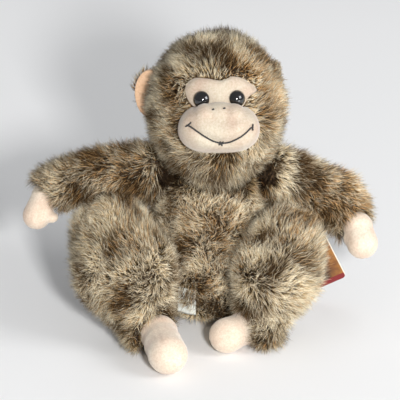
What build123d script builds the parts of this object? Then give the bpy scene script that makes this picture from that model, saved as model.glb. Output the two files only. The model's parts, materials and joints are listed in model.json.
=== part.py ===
from build123d import *
import os
from math import asin, cos, degrees, radians, sin

# A stuffed monkey that sits upright, in millimetres. +Z is up, the face looks
# along -Y, and the monkey's own right side is at -X. The origin is the middle
# of the flat seat. Outer surfaces are those of the fur with its pile pressed.

# Cloth and fits
FUR_CLOTH = 4.5
VELOUR = 2.0
PANEL_PROUD = 0.8
JOINT_GAP = 0.4

# Torso: a pear-shaped body of revolution on a flat seat
TORSO = Vector(3, 4, 0)
SEAT_RADIUS = 25
TORSO_SIDE = [(32, 7), (35.7, 24), (35.5, 45), (33.5, 68), (30, 86), (22, 97)]
TORSO_TOP = 102

# Neck and head
NECK = Vector(4, 0, 100)
NECK_RADIUS = 22
HEAD = Vector(5, -4, 137.5)
HEAD_WIDE = 39.5
HEAD_HIGH = 45.5

# Face: it is turned a little to the monkey's left and looks up
FACE_TURN = 3
FACE_TILT = 25
MUZZLE = Vector(6.5, -42, 140.3)
MUZZLE_WIDE = 25
MUZZLE_ROUND = 16
BROW_TILT = 33
BROW_SIZE = (22.5, 13)
BROW_RISE = 2
EYE_SPREAD = 17.8
EYE_TILT = 27.5
EYE_RADIUS = 5.6
EYE_BURIED = 25
SHANK_RADIUS = 1.5
SHANK_LENGTH = 11
WASHER_RADIUS = 6.5
WASHER_THICK = 1.2
THREAD_WIDE = 1.0
THREAD_PROUD = 0.7
NOSTRIL_SIZE = (1.3, 0.6)

# Ears: centre of the disc, and the way its pale front looks
EAR_SIZE = (10.5, 15.5)
EAR_CLOTH = 2.0
EARS = {
    "right": (Vector(-35, 3, 144.5), Vector(-0.2, -1, 0.1)),
    "left": (Vector(41.5, 14, 144), Vector(0.95, -0.3, 0.1)),
}

# Arms: shoulder, elbow and wrist centres with the radius there
ARMS = {
    "right": [(Vector(-36, 0, 94), 15), (Vector(-66, -4, 92.5), 15), (Vector(-96, -10, 87), 12)],
    "left": [(Vector(43, 0, 92), 15), (Vector(80, -4, 77), 14.5), (Vector(88, -11, 67), 12)],
}

# Hands: pivot at the wrist seam, centre of the finger end, radius
HANDS = {
    "right": (Vector(-101, -12, 82), Vector(-106, -17, 71), 8.8),
    "left": (Vector(93, -19, 64), Vector(95.5, -27, 56.7), 9.8),
}

# Legs: hip pivot, then the ends of the leg's straight axis
HIP_RADIUS = 18
LEGS = {
    "right": (Vector(-35, -14, 32), Vector(-59, -28, 62.5), Vector(-38, -56, 16.5)),
    "left": (Vector(40, -16, 32), Vector(47, -36.5, 61), Vector(33, -51.5, 14.5)),
}
LEG_RADII = {"right": (22.5, 28.5, 15.5), "left": (20, 23, 13.5)}

# Feet: pivot at the ankle seam, centre of the toe end, radius
FEET = {
    "right": (Vector(-30, -65, 13), Vector(-24.5, -91, 12.3), 12.3),
    "left": (Vector(21, -55, 11.5), Vector(11.5, -63, 11), 11),
}
NECK_OF_MITT = 0.88
CUFF_FLARE = 2.2

# Pellet pouch in the seat
POUCH_RADIUS = 23.5
POUCH_BASE = 7
POUCH_HEIGHT = 9.5
POUCH_EDGE = 3.5
POUCH_CLOTH = 0.8

# Care label in the seat seam
LABEL_SIZE = (12, 0.6, 17)
LABEL_TURN = -116
LABEL_TOP = 26

# Hang tag and its plastic fastener
TAG_SIZE = (25, 40)
TAG_THICK = 0.8
TAG_CORNER = 3
TAG_CENTRE = Vector(67.7, 10, 28.5)
TAG_LEAN = 25.7
TAG_HOLE_RISE = 16
TAG_HOLE_RADIUS = 1.4
FILAMENT_RADIUS = 0.5
FILAMENT_ROOT = Vector(34, 6, 51.5)
BAR_RADIUS = 0.8
BAR_LENGTH = 8
BAR_STAND_OFF = 3

SIDES = ("left", "right")


def along(tilt, turn):
    """Unit vector that looks forward (-Y), raised by tilt and turned to the monkey's left."""
    flat = cos(radians(tilt))
    return Vector(flat * sin(radians(turn)), -flat * cos(radians(turn)), sin(radians(tilt)))


def ball(centre, radius):
    with BuildPart() as form:
        with Locations(centre):
            Sphere(radius)
    return form.part


def profile_plane(start, end):
    """Plane through a straight axis: its X runs along the axis, its Y across it."""
    run = (end - start).normalized()
    return Plane(origin=start, x_dir=run, z_dir=run.cross(Vector(0, 1, 0.1)).normalized())


def tube(start, end, start_radius, end_radius):
    """Tapered tube with round ends, centred on start and end."""
    length = (end - start).length
    slope = degrees(asin((start_radius - end_radius) / length))
    with BuildPart() as form:
        with BuildSketch(profile_plane(start, end)):
            with BuildLine():
                near = CenterArc((0, 0), start_radius, 90 - slope, 90 + slope)
                far = CenterArc((length, 0), end_radius, 0, 90 - slope)
                Line(near @ 0, far @ 1)
                Line(near @ 1, far @ 0)
            make_face()
        revolve(axis=Axis(start, end - start))
    return form.part


def pod(start, end, radii, inset):
    """Rounded pod on a straight axis, thickest in the middle."""
    length = (end - start).length
    first, middle, last = (r - inset for r in radii)
    with BuildPart() as form:
        with BuildSketch(profile_plane(start, end)):
            with BuildLine():
                skin = Spline(
                    [(-first, 0), (0, first), (length / 2, middle), (length, last), (length + last, 0)],
                    tangents=[(0, 1), (0, -1)],
                )
                Line(skin @ 0, skin @ 1)
            make_face()
        revolve(axis=Axis(start, end - start))
    return form.part


def torso_form(inset):
    """The pear of the torso, drawn inset inside its outer surface."""
    with BuildPart() as form:
        with BuildSketch(Plane(origin=TORSO, x_dir=(1, 0, 0), z_dir=(0, -1, 0))):
            with BuildLine():
                side = Spline([(SEAT_RADIUS - inset, inset)] + [(r - inset, z) for r, z in TORSO_SIDE])
                Polyline(side @ 1, (0, TORSO_TOP - inset), (0, inset), side @ 0)
            make_face()
        revolve(axis=Axis(TORSO, (0, 0, 1)))
    return form.part


def head_form(inset):
    """Upright egg of the head, drawn inset inside its outer surface."""
    with BuildPart() as form:
        with BuildSketch(Plane(origin=HEAD, x_dir=(1, 0, 0), z_dir=(0, -1, 0))):
            with BuildLine():
                half = EllipticalCenterArc(
                    (0, 0), HEAD_WIDE - inset, HEAD_HIGH - inset, start_angle=-90, arc_size=180
                )
                Line(half @ 0, half @ 1)
            make_face()
        revolve(axis=Axis(HEAD, (0, 0, 1)))
    return form.part


def panel_face():
    """The head's form out to the face of the brow panel."""
    return head_form(-PANEL_PROUD)


def muzzle_form(inset):
    """Rounded oval of the muzzle, drawn inset inside its outer surface."""
    reach = Vector(MUZZLE_WIDE - MUZZLE_ROUND, 0, 0)
    return tube(MUZZLE - reach, MUZZLE + reach, MUZZLE_ROUND - inset, MUZZLE_ROUND - inset)


def mitt(pivot, tip, radius, inset):
    """Hand or foot: a ball in the cuff, a narrower root and a full round end."""
    with BuildPart() as form:
        add(ball(pivot, radius - JOINT_GAP - inset))
        add(tube(pivot, tip, NECK_OF_MITT * radius - inset, radius - inset))
    return form.part


def cuff_room(pivot, tip, radius, spare):
    """Socket at the end of a limb, flared towards the tip so that a mitt can turn in it."""
    return tube(pivot, tip, radius + spare, radius + CUFF_FLARE + spare)


def arm_form(side, inset):
    (shoulder, r1), (elbow, r2), (wrist, r3) = ARMS[side]
    with BuildPart() as form:
        add(tube(shoulder, elbow, r1 - inset, r2 - inset - 0.3))
        add(tube(elbow, wrist, r2 - inset, r3 - inset))
    return form.part


def leg_form(side, inset):
    hip, knee, ankle = LEGS[side]
    with BuildPart() as form:
        add(pod(knee, ankle, LEG_RADII[side], inset))
        add(ball(hip, HIP_RADIUS - inset))
    return form.part


def head_point(turn, tilt):
    """Plane on the head's surface, facing outwards, at a turn and tilt about the head's centre."""
    flat = HEAD_WIDE * cos(radians(tilt))
    high = HEAD_HIGH * sin(radians(tilt))
    offset = Vector(flat * sin(radians(turn)), -flat * cos(radians(turn)), high)
    slope = Vector(offset.X / HEAD_WIDE**2, offset.Y / HEAD_WIDE**2, offset.Z / HEAD_HIGH**2)
    return Plane(origin=HEAD + offset, x_dir=(cos(radians(turn)), sin(radians(turn)), 0), z_dir=slope)


def save(part, name):
    part.label = name
    export_step(part, f"parts/{name}.step")


os.makedirs("parts", exist_ok=True)

# Sockets: each limb turns on a ball that sits in a hollow of what carries it
SHOULDERS = {side: ARMS[side][0] for side in SIDES}
HIPS = {side: (LEGS[side][0], HIP_RADIUS) for side in SIDES}
TORSO_BALLS = [*SHOULDERS.values(), *HIPS.values(), (NECK, NECK_RADIUS)]

# Torso ----------------------------------------------------------------------
torso_outer = torso_form(0)
torso_inner = torso_form(FUR_CLOTH)

with BuildPart() as torso_cavity:
    add(torso_inner)
    for centre, radius in TORSO_BALLS:
        with Locations(centre):
            Sphere(radius + JOINT_GAP + FUR_CLOTH, mode=Mode.SUBTRACT)

with BuildPart() as torso_fur_shell:
    add(torso_outer)
    for centre, radius in TORSO_BALLS:
        with Locations(centre):
            Sphere(radius + JOINT_GAP, mode=Mode.SUBTRACT)
    add(torso_cavity.part, mode=Mode.SUBTRACT)
save(torso_fur_shell.part, "torso_fur_shell")


def pouch_form(inset):
    with BuildPart() as form:
        with BuildSketch(Plane.XY.offset(POUCH_BASE + inset)):
            with Locations((TORSO.X, TORSO.Y)):
                Circle(POUCH_RADIUS - inset)
        extrude(amount=POUCH_HEIGHT - 2 * inset)
        fillet(form.edges().filter_by(GeomType.CIRCLE), radius=POUCH_EDGE - inset)
    return form.part


with BuildPart() as bean_pouch:
    add(pouch_form(0))
    add(pouch_form(POUCH_CLOTH), mode=Mode.SUBTRACT)
save(bean_pouch.part, "bean_pouch")

with BuildPart() as pellet_fill:
    add(pouch_form(POUCH_CLOTH))
save(pellet_fill.part, "pellet_fill")

with BuildPart() as torso_stuffing:
    add(torso_cavity.part)
    add(pouch_form(0), mode=Mode.SUBTRACT)
save(torso_stuffing.part, "torso_stuffing")

# Care label: it hangs from the widest ring of the torso, clear of it below
label_out = Vector(cos(radians(LABEL_TURN)), sin(radians(LABEL_TURN)), 0)
label_reach = max(r for r, z in TORSO_SIDE) + 0.15 + LABEL_SIZE[1] / 2
label_place = TORSO + label_out * label_reach + Vector(0, 0, LABEL_TOP - LABEL_SIZE[2] / 2)
with BuildPart() as care_label:
    with Locations(Location(Plane(origin=label_place, x_dir=label_out.cross(Vector(0, 0, 1)), z_dir=(0, 0, 1)))):
        Box(*LABEL_SIZE)
save(care_label.part, "care_label")

# Neck -----------------------------------------------------------------------
with BuildPart() as neck_fur_shell:
    add(ball(NECK, NECK_RADIUS))
    add(ball(NECK, NECK_RADIUS - FUR_CLOTH), mode=Mode.SUBTRACT)
save(neck_fur_shell.part, "neck_fur_shell")

with BuildPart() as neck_stuffing:
    add(ball(NECK, NECK_RADIUS - FUR_CLOTH))
save(neck_stuffing.part, "neck_stuffing")

# Head -----------------------------------------------------------------------
head_outer = head_form(0)
head_inner = head_form(FUR_CLOTH)
brow_look = along(BROW_TILT, FACE_TURN)
brow_plane = Plane(
    origin=HEAD + brow_look * (2 * HEAD_WIDE),
    x_dir=(cos(radians(FACE_TURN)), sin(radians(FACE_TURN)), 0),
    z_dir=brow_look,
)

with BuildPart() as brow_opening:
    with BuildSketch(brow_plane):
        with Locations((0, BROW_RISE)):
            Ellipse(*BROW_SIZE)
    extrude(amount=-2 * HEAD_WIDE)

with BuildPart() as head_cavity:
    add(head_inner)
    with Locations(NECK):
        Sphere(NECK_RADIUS + JOINT_GAP + FUR_CLOTH, mode=Mode.SUBTRACT)

with BuildPart() as head_fur_shell:
    add(head_outer)
    with Locations(NECK):
        Sphere(NECK_RADIUS + JOINT_GAP, mode=Mode.SUBTRACT)
    add(head_cavity.part, mode=Mode.SUBTRACT)
    add(brow_opening.part, mode=Mode.SUBTRACT)
save(head_fur_shell.part, "head_fur_shell")


def eye_form(turn):
    """Safety eye: a domed cap on the panel with a shank through it."""
    seat = head_point(turn, EYE_TILT)
    buried = EYE_RADIUS * sin(radians(EYE_BURIED))
    with BuildPart() as form:
        with Locations(Location(seat.offset(PANEL_PROUD - buried))):
            Sphere(EYE_RADIUS, arc_size1=EYE_BURIED, align=None)
        with Locations(Location(seat.offset(PANEL_PROUD - SHANK_LENGTH / 2 + 0.5))):
            Cylinder(SHANK_RADIUS, SHANK_LENGTH + 1)
    return form.part


def washer_form(turn):
    """Locking washer on the shank, just inside the fur cloth."""
    seat = head_point(turn, EYE_TILT)
    with BuildPart() as form:
        with Locations(Location(seat.offset(-FUR_CLOTH - WASHER_THICK - 0.8))):
            Cylinder(WASHER_RADIUS, WASHER_THICK)
            Cylinder(SHANK_RADIUS, 2 * WASHER_THICK, mode=Mode.SUBTRACT)
    return form.part


EYE_TURNS = {"right": FACE_TURN - EYE_SPREAD, "left": FACE_TURN + EYE_SPREAD}
eyes = {side: eye_form(turn) for side, turn in EYE_TURNS.items()}
washers = {side: washer_form(turn) for side, turn in EYE_TURNS.items()}

for side in SIDES:
    with BuildPart() as eye:
        add(eyes[side])
    save(eye.part, f"{side}_eye")
    with BuildPart() as eye_washer:
        add(washers[side])
    save(eye_washer.part, f"{side}_eye_washer")

with BuildPart() as brow_panel:
    add(panel_face())
    add(head_inner, mode=Mode.SUBTRACT)
    add(brow_opening.part, mode=Mode.INTERSECT)
    for side in SIDES:
        add(eyes[side], mode=Mode.SUBTRACT)
save(brow_panel.part, "brow_panel")

with BuildPart() as head_stuffing:
    add(head_cavity.part)
    for side in SIDES:
        add(eyes[side], mode=Mode.SUBTRACT)
        add(washers[side], mode=Mode.SUBTRACT)
save(head_stuffing.part, "head_stuffing")



def eye_room(turn, spare):
    """Room for an eye where it presses into the top of the muzzle."""
    with BuildPart() as room:
        with Locations(Location(head_point(turn, EYE_TILT))):
            Cylinder(EYE_RADIUS + spare, 2 * MUZZLE_ROUND)
    return room.part


# Muzzle: a padded oval sewn over the lower face, pressed in by the eyes
with BuildPart() as muzzle_stuffing:
    add(muzzle_form(VELOUR))
    add(panel_face(), mode=Mode.SUBTRACT)
    for turn in EYE_TURNS.values():
        add(eye_room(turn, JOINT_GAP + VELOUR), mode=Mode.SUBTRACT)
save(muzzle_stuffing.part, "muzzle_stuffing")

with BuildPart() as muzzle_shell:
    add(muzzle_form(0))
    add(panel_face(), mode=Mode.SUBTRACT)
    for turn in EYE_TURNS.values():
        add(eye_room(turn, JOINT_GAP), mode=Mode.SUBTRACT)
    add(muzzle_stuffing.part, mode=Mode.SUBTRACT)
save(muzzle_shell.part, "muzzle_shell")

# Mouth and nostrils are thread laid on the muzzle, drawn as seen from in front
face_look = along(FACE_TILT, 0)
mouth_plane = Plane(origin=MUZZLE + face_look * (2 * MUZZLE_WIDE), x_dir=(1, 0, 0), z_dir=face_look)
thread_layer = muzzle_form(-THREAD_PROUD)
muzzle_skin = muzzle_form(0)

with BuildPart() as mouth_thread:
    with BuildSketch(mouth_plane):
        with BuildLine() as smile:
            Spline([(-18, 2.2), (-8.7, -4.4), (1.8, -8.4), (12.3, -5.2), (19.8, 1.5)])
        trace(line_width=THREAD_WIDE)
    extrude(amount=-2 * MUZZLE_WIDE)
    add(thread_layer, mode=Mode.INTERSECT)
    add(muzzle_skin, mode=Mode.SUBTRACT)
save(mouth_thread.part, "mouth_thread")

with BuildPart() as nostril_stitches:
    with BuildSketch(mouth_plane):
        with Locations((-3.6, 12.6), (3.2, 12.8)):
            Ellipse(*NOSTRIL_SIZE)
    extrude(amount=-2 * MUZZLE_WIDE)
    add(thread_layer, mode=Mode.INTERSECT)
    add(muzzle_skin, mode=Mode.SUBTRACT)
    add(panel_face(), mode=Mode.SUBTRACT)
save(nostril_stitches.part, "nostril_stitches")

# Ears: pale pile in front, fur cloth behind, sewn to the side of the head
for side in SIDES:
    ear_centre, ear_look = EARS[side]
    ear_across = ear_look.cross(Vector(0, 0, 1)).normalized()
    ear_plane = Plane(origin=ear_centre, x_dir=ear_across, z_dir=ear_look)
    with BuildPart() as ear_front:
        with BuildSketch(ear_plane):
            Ellipse(*EAR_SIZE)
        extrude(amount=EAR_CLOTH)
        add(head_outer, mode=Mode.SUBTRACT)
    save(ear_front.part, f"{side}_ear_front")
    with BuildPart() as ear_back:
        with BuildSketch(ear_plane):
            Ellipse(*EAR_SIZE)
        extrude(amount=-EAR_CLOTH)
        add(head_outer, mode=Mode.SUBTRACT)
    save(ear_back.part, f"{side}_ear_back")

# Arms and hands, legs and feet -----------------------------------------------
for side in SIDES:
    hand_pivot, hand_tip, hand_radius = HANDS[side]
    foot_pivot, foot_tip, foot_radius = FEET[side]

    with BuildPart() as arm_cavity:
        add(arm_form(side, FUR_CLOTH))
        add(cuff_room(hand_pivot, hand_tip, hand_radius, FUR_CLOTH), mode=Mode.SUBTRACT)
    with BuildPart() as arm_fur_shell:
        add(arm_form(side, 0))
        add(cuff_room(hand_pivot, hand_tip, hand_radius, 0), mode=Mode.SUBTRACT)
        add(arm_cavity.part, mode=Mode.SUBTRACT)
    save(arm_fur_shell.part, f"{side}_arm_fur_shell")
    save(arm_cavity.part, f"{side}_arm_stuffing")

    with BuildPart() as hand_shell:
        add(mitt(hand_pivot, hand_tip, hand_radius, 0))
        add(mitt(hand_pivot, hand_tip, hand_radius, VELOUR), mode=Mode.SUBTRACT)
    save(hand_shell.part, f"{side}_hand_shell")
    with BuildPart() as hand_stuffing:
        add(mitt(hand_pivot, hand_tip, hand_radius, VELOUR))
    save(hand_stuffing.part, f"{side}_hand_stuffing")

    with BuildPart() as leg_cavity:
        add(leg_form(side, FUR_CLOTH))
        add(cuff_room(foot_pivot, foot_tip, foot_radius, FUR_CLOTH), mode=Mode.SUBTRACT)
    with BuildPart() as leg_fur_shell:
        add(leg_form(side, 0))
        add(cuff_room(foot_pivot, foot_tip, foot_radius, 0), mode=Mode.SUBTRACT)
        add(leg_cavity.part, mode=Mode.SUBTRACT)
    save(leg_fur_shell.part, f"{side}_leg_fur_shell")
    save(leg_cavity.part, f"{side}_leg_stuffing")

    with BuildPart() as foot_shell:
        add(mitt(foot_pivot, foot_tip, foot_radius, 0))
        add(mitt(foot_pivot, foot_tip, foot_radius, VELOUR), mode=Mode.SUBTRACT)
    save(foot_shell.part, f"{side}_foot_shell")
    with BuildPart() as foot_stuffing:
        add(mitt(foot_pivot, foot_tip, foot_radius, VELOUR))
    save(foot_stuffing.part, f"{side}_foot_stuffing")

# Hang tag --------------------------------------------------------------------
tag_up = Vector(-sin(radians(TAG_LEAN)), 0, cos(radians(TAG_LEAN)))
tag_across = Vector(cos(radians(TAG_LEAN)), 0, sin(radians(TAG_LEAN)))
tag_hole = TAG_CENTRE + tag_up * TAG_HOLE_RISE
tag_plane = Plane(origin=TAG_CENTRE, x_dir=tag_across, z_dir=(0, -1, 0))

with BuildPart() as hang_tag:
    with BuildSketch(tag_plane):
        RectangleRounded(*TAG_SIZE, radius=TAG_CORNER)
        with Locations((0, TAG_HOLE_RISE)):
            Circle(TAG_HOLE_RADIUS, mode=Mode.SUBTRACT)
    extrude(amount=TAG_THICK / 2, both=True)
save(hang_tag.part, "hang_tag")

filament_bend = tag_hole - Vector(0, BAR_STAND_OFF, 0)
filament_end = tag_hole + Vector(0, BAR_STAND_OFF, 0)
bar_half = Vector(BAR_LENGTH / 2, 0, 0)
with BuildPart() as tag_fastener:
    add(tube(FILAMENT_ROOT, filament_bend, FILAMENT_RADIUS, FILAMENT_RADIUS))
    add(tube(filament_bend, filament_end, FILAMENT_RADIUS, FILAMENT_RADIUS))
    add(tube(filament_end - bar_half, filament_end + bar_half, BAR_RADIUS, BAR_RADIUS))
    add(torso_outer, mode=Mode.SUBTRACT)
save(tag_fastener.part, "tag_fastener")
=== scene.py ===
"""Looks of the seated stuffed monkey: frosted long fur, pale velour face, hands and feet.

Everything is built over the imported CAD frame. Lengths in the tables are millimetres.
"""

import json

import bmesh
import bpy
import numpy as np
from mathutils import Matrix, Vector
from mathutils.bvhtree import BVHTree
from mathutils.kdtree import KDTree


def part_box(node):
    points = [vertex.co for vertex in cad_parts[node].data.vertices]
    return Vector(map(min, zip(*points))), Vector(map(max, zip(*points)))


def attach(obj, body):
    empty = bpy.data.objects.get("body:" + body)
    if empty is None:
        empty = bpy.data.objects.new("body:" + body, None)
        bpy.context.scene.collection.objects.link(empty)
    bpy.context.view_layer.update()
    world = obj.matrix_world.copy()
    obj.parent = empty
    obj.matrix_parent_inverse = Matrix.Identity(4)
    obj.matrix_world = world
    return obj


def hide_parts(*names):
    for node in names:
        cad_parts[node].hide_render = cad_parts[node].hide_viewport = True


MM = 0.001
SIDES = ("left", "right")
LIMBS = ("arm", "leg")

# Camera: straight ahead of the monkey, looking down at it a little
VIEW_TILT = 25
VIEW_TARGET = Vector((-4.9, -20, 82.9)) * MM
VIEW_DISTANCE = 2500 * MM
VIEW_LENS = 364.5

# Area lights: name, place in millimetres, watts, size in metres and the point they face
BODY_MIDDLE = (0, 0, 80)
LIGHTS = [
    ("key", (300, -1770, 860), 39, 0.2, BODY_MIDDLE),
    ("side", (1350, -700, 1000), 14, 0.8, BODY_MIDDLE),
    ("rear", (-500, 1900, 1400), 5, 0.8, BODY_MIDDLE),
    ("catch", (420, -560, 60), 0.4, 0.12, (5, -40, 135)),
]
WORLD_STRENGTH = 0.35
FLOOR_HALF = 4.0

# Remesh voxels, and how far the cloth under the fur lies inside the pressed pile
CLOTH_VOXEL = 1.8 * MM
VELOUR_VOXEL = 1.0 * MM
EAR_VOXEL = 0.7 * MM
CLOTH_INSET = 2.6 * MM

# Dye of a strand: dark at 0, frosted at FROSTED, and ginger past the step
FROSTED = 0.75
GINGER_STEP = (0.76, 0.8)
GINGER_DYES = (0.82, 1.0)

# Hang tag: half its width and height, and how far its top leans towards the body
TAG_HALF = (12.5, 20)
TAG_LEAN = 25.7

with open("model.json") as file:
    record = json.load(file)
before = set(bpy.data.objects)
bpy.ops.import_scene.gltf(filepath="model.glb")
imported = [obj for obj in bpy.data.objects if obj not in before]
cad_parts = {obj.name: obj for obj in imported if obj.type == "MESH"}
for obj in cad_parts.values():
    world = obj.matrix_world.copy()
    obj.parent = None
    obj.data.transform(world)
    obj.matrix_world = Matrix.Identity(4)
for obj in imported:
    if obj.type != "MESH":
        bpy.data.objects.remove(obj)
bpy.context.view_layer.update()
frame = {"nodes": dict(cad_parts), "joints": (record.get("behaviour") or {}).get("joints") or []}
NODES = frame["nodes"]


def mm(*xyz):
    """A point given in millimetres, in metres."""
    return np.array(xyz, float) * MM


def rgb(red, green, blue):
    """Linear colour of a screen colour given from 0 to 255."""
    screen = np.array((red, green, blue)) / 255
    linear = np.where(screen > 0.04045, ((screen + 0.055) / 1.055) ** 2.4, screen / 12.92)
    return (*linear.tolist(), 1.0)


BLACK, WHITE = rgb(0, 0, 0), rgb(255, 255, 255)


def unit(vectors):
    length = np.linalg.norm(vectors, axis=-1, keepdims=True)
    return vectors / np.maximum(length, 1e-9)


def along_surface(vectors, normals):
    """The part of each vector that lies in the surface, no longer than 1."""
    flat = vectors - normals * np.sum(vectors * normals, axis=1, keepdims=True)
    return flat / np.maximum(np.linalg.norm(flat, axis=1, keepdims=True), 1)


# ---------------------------------------------------------------- camera and stage


def add_camera():
    tilt = np.radians(VIEW_TILT)
    away = Vector((0, -np.cos(tilt), np.sin(tilt)))
    data = bpy.data.cameras.new("camera")
    data.lens = VIEW_LENS
    data.clip_start = 0.01
    camera = bpy.data.objects.new("camera", data)
    camera.location = VIEW_TARGET + away * VIEW_DISTANCE
    camera.rotation_euler = (np.radians(90 - VIEW_TILT), 0, 0)
    bpy.context.scene.collection.objects.link(camera)
    bpy.context.scene.camera = camera


def add_light(name, place, watts, size, target):
    data = bpy.data.lights.new(name, "AREA")
    data.energy = watts
    data.size = size
    light = bpy.data.objects.new(name, data)
    light.location = Vector(place) * MM
    look = Vector(target) * MM - light.location
    light.rotation_euler = look.to_track_quat("-Z", "Y").to_euler()
    light.visible_camera = False
    bpy.context.scene.collection.objects.link(light)


def add_world():
    world = bpy.data.worlds.new("studio")
    world.use_nodes = True
    background = world.node_tree.nodes["Background"]
    background.inputs["Color"].default_value = rgb(238, 240, 243)
    background.inputs["Strength"].default_value = WORLD_STRENGTH
    bpy.context.scene.world = world


# ---------------------------------------------------------------- materials


class Paint:
    """A material being built: add() makes a node, and shader is its Principled BSDF."""

    def __init__(self, name, **sockets):
        self.material = bpy.data.materials.new(name)
        self.material.use_nodes = True
        self.tree = self.material.node_tree
        self.shader = self.tree.nodes["Principled BSDF"]
        for socket, value in sockets.items():
            self.shader.inputs[socket.replace("_", " ")].default_value = value

    def add(self, kind, settings=None, **links):
        """A node; links give a socket its value, or the output that feeds it."""
        made = self.tree.nodes.new("ShaderNode" + kind)
        for key, value in (settings or {}).items():
            setattr(made, key, value)
        for socket, value in links.items():
            self.feed(made.inputs[socket.replace("_", " ")], value)
        return made

    def feed(self, socket, value):
        if isinstance(value, bpy.types.NodeSocket):
            self.tree.links.new(value, socket)
        else:
            socket.default_value = value

    def ramp(self, factor, stops):
        made = self.add("ValToRGB", Fac=factor)
        points = made.color_ramp.elements
        while len(points) < len(stops):
            points.new(0.5)
        for point, (position, colour) in zip(points, stops):
            point.position = position
            point.color = colour
        return made.outputs["Color"]

    def span(self, value, start, end):
        """0 where the value is at start, and 1 where it is at end."""
        made = self.add("MapRange", Value=value, From_Min=start, From_Max=end)
        return made.outputs["Result"]

    def noise(self, scale, detail=2.0):
        place = self.add("TexCoord").outputs["Object"]
        made = self.add("TexNoise", Vector=place, Scale=scale, Detail=detail)
        return made.outputs["Fac"]

    def mix(self, factor, first, second, blend="MIX"):
        made = self.add("Mix", {"data_type": "RGBA", "blend_type": blend})
        self.feed(made.inputs[0], factor)
        self.feed(made.inputs[6], first)
        self.feed(made.inputs[7], second)
        return made.outputs[2]

    def colour(self, value):
        self.feed(self.shader.inputs["Base Color"], value)

    def bump(self, height, distance, strength=1.0):
        made = self.add("Bump", Height=height, Distance=distance, Strength=strength)
        self.tree.links.new(made.outputs["Normal"], self.shader.inputs["Normal"])


def fur_paint():
    """Frosted pile: u of the strand's map picks its dye, which creases lower as painted shade, and
    v runs from root to tip.
    """
    paint = Paint("frosted_fur", Roughness=0.6, Specular_IOR_Level=0.1)
    place = paint.add("UVMap", {"uv_map": "OFBake"}).outputs["UV"]
    axes = paint.add("SeparateXYZ", Vector=place)
    dye, height = axes.outputs["X"], axes.outputs["Y"]
    dark = paint.ramp(
        height,
        [
            (0.0, rgb(22, 15, 10)),
            (0.45, rgb(46, 33, 20)),
            (0.75, rgb(88, 65, 38)),
            (1.0, rgb(142, 110, 70)),
        ],
    )
    frosted = paint.ramp(
        height,
        [
            (0.0, rgb(30, 21, 14)),
            (0.25, rgb(100, 76, 46)),
            (0.45, rgb(210, 180, 130)),
            (0.75, rgb(253, 242, 214)),
        ],
    )
    ginger = paint.ramp(
        height,
        [
            (0.0, rgb(32, 20, 12)),
            (0.35, rgb(122, 84, 48)),
            (0.65, rgb(208, 158, 100)),
            (1.0, rgb(255, 226, 172)),
        ],
    )
    plain = paint.mix(paint.span(dye, 0, FROSTED), dark, frosted)
    paint.colour(paint.mix(paint.span(dye, *GINGER_STEP), plain, ginger))
    return paint.material


def backing_paint():
    """Cloth that the pile grows from, with the stubble of its short underfur."""
    paint = Paint("fur_backing", Roughness=0.95)
    tufts = paint.noise(900, 4)
    paint.colour(paint.ramp(tufts, [(0.3, rgb(44, 32, 22)), (0.7, rgb(94, 72, 48))]))
    paint.bump(tufts, 0.6 * MM)
    return paint.material


def velour_paint(name, pale, warm):
    """Short-pile velour: cloudy colour, fine nap, soft sheen."""
    paint = Paint(name, Roughness=0.85, Sheen_Weight=0.35, Sheen_Roughness=0.45)
    clouds = paint.noise(60, 3)
    nap = paint.noise(2600, 3)
    cloudy = paint.ramp(clouds, [(0.35, warm), (0.65, pale)])
    grain = paint.ramp(nap, [(0.3, rgb(226, 222, 216)), (0.65, WHITE)])
    brushed = paint.ramp(paint.noise(750, 5), [(0.35, rgb(240, 236, 231)), (0.62, WHITE)])
    napped = paint.mix(0.8, cloudy, grain, "MULTIPLY")
    paint.colour(paint.mix(1.0, napped, brushed, "MULTIPLY"))
    paint.bump(nap, 0.25 * MM, 0.6)
    return paint.material


def thread_paint():
    paint = Paint("black_thread", Roughness=0.6, Sheen_Weight=0.2)
    fibres = paint.noise(3000, 2)
    paint.colour(paint.ramp(fibres, [(0.3, rgb(10, 9, 9)), (0.7, rgb(38, 34, 32))]))
    paint.bump(fibres, 0.1 * MM)
    return paint.material


def eye_paint():
    """Moulded black plastic, polished, with a trace of handling haze."""
    paint = Paint("eye_plastic", Roughness=0.06, Coat_Weight=1.0, Coat_Roughness=0.03)
    haze = paint.noise(220, 3)
    paint.colour(paint.ramp(haze, [(0.3, rgb(8, 8, 9)), (0.8, rgb(22, 20, 20))]))
    paint.feed(
        paint.shader.inputs["Roughness"],
        paint.add("MapRange", Value=haze, To_Min=0.05, To_Max=0.16).outputs["Result"],
    )
    return paint.material


def plain_paint(name, base, other, roughness, scale, depth=0.1, **sockets):
    """A cloudy two-tone surface with a bump of the same grain."""
    paint = Paint(name, Roughness=roughness, **sockets)
    grain = paint.noise(scale, 3)
    paint.colour(paint.ramp(grain, [(0.3, base), (0.7, other)]))
    paint.bump(grain, depth * MM, 0.5)
    return paint.material


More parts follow.
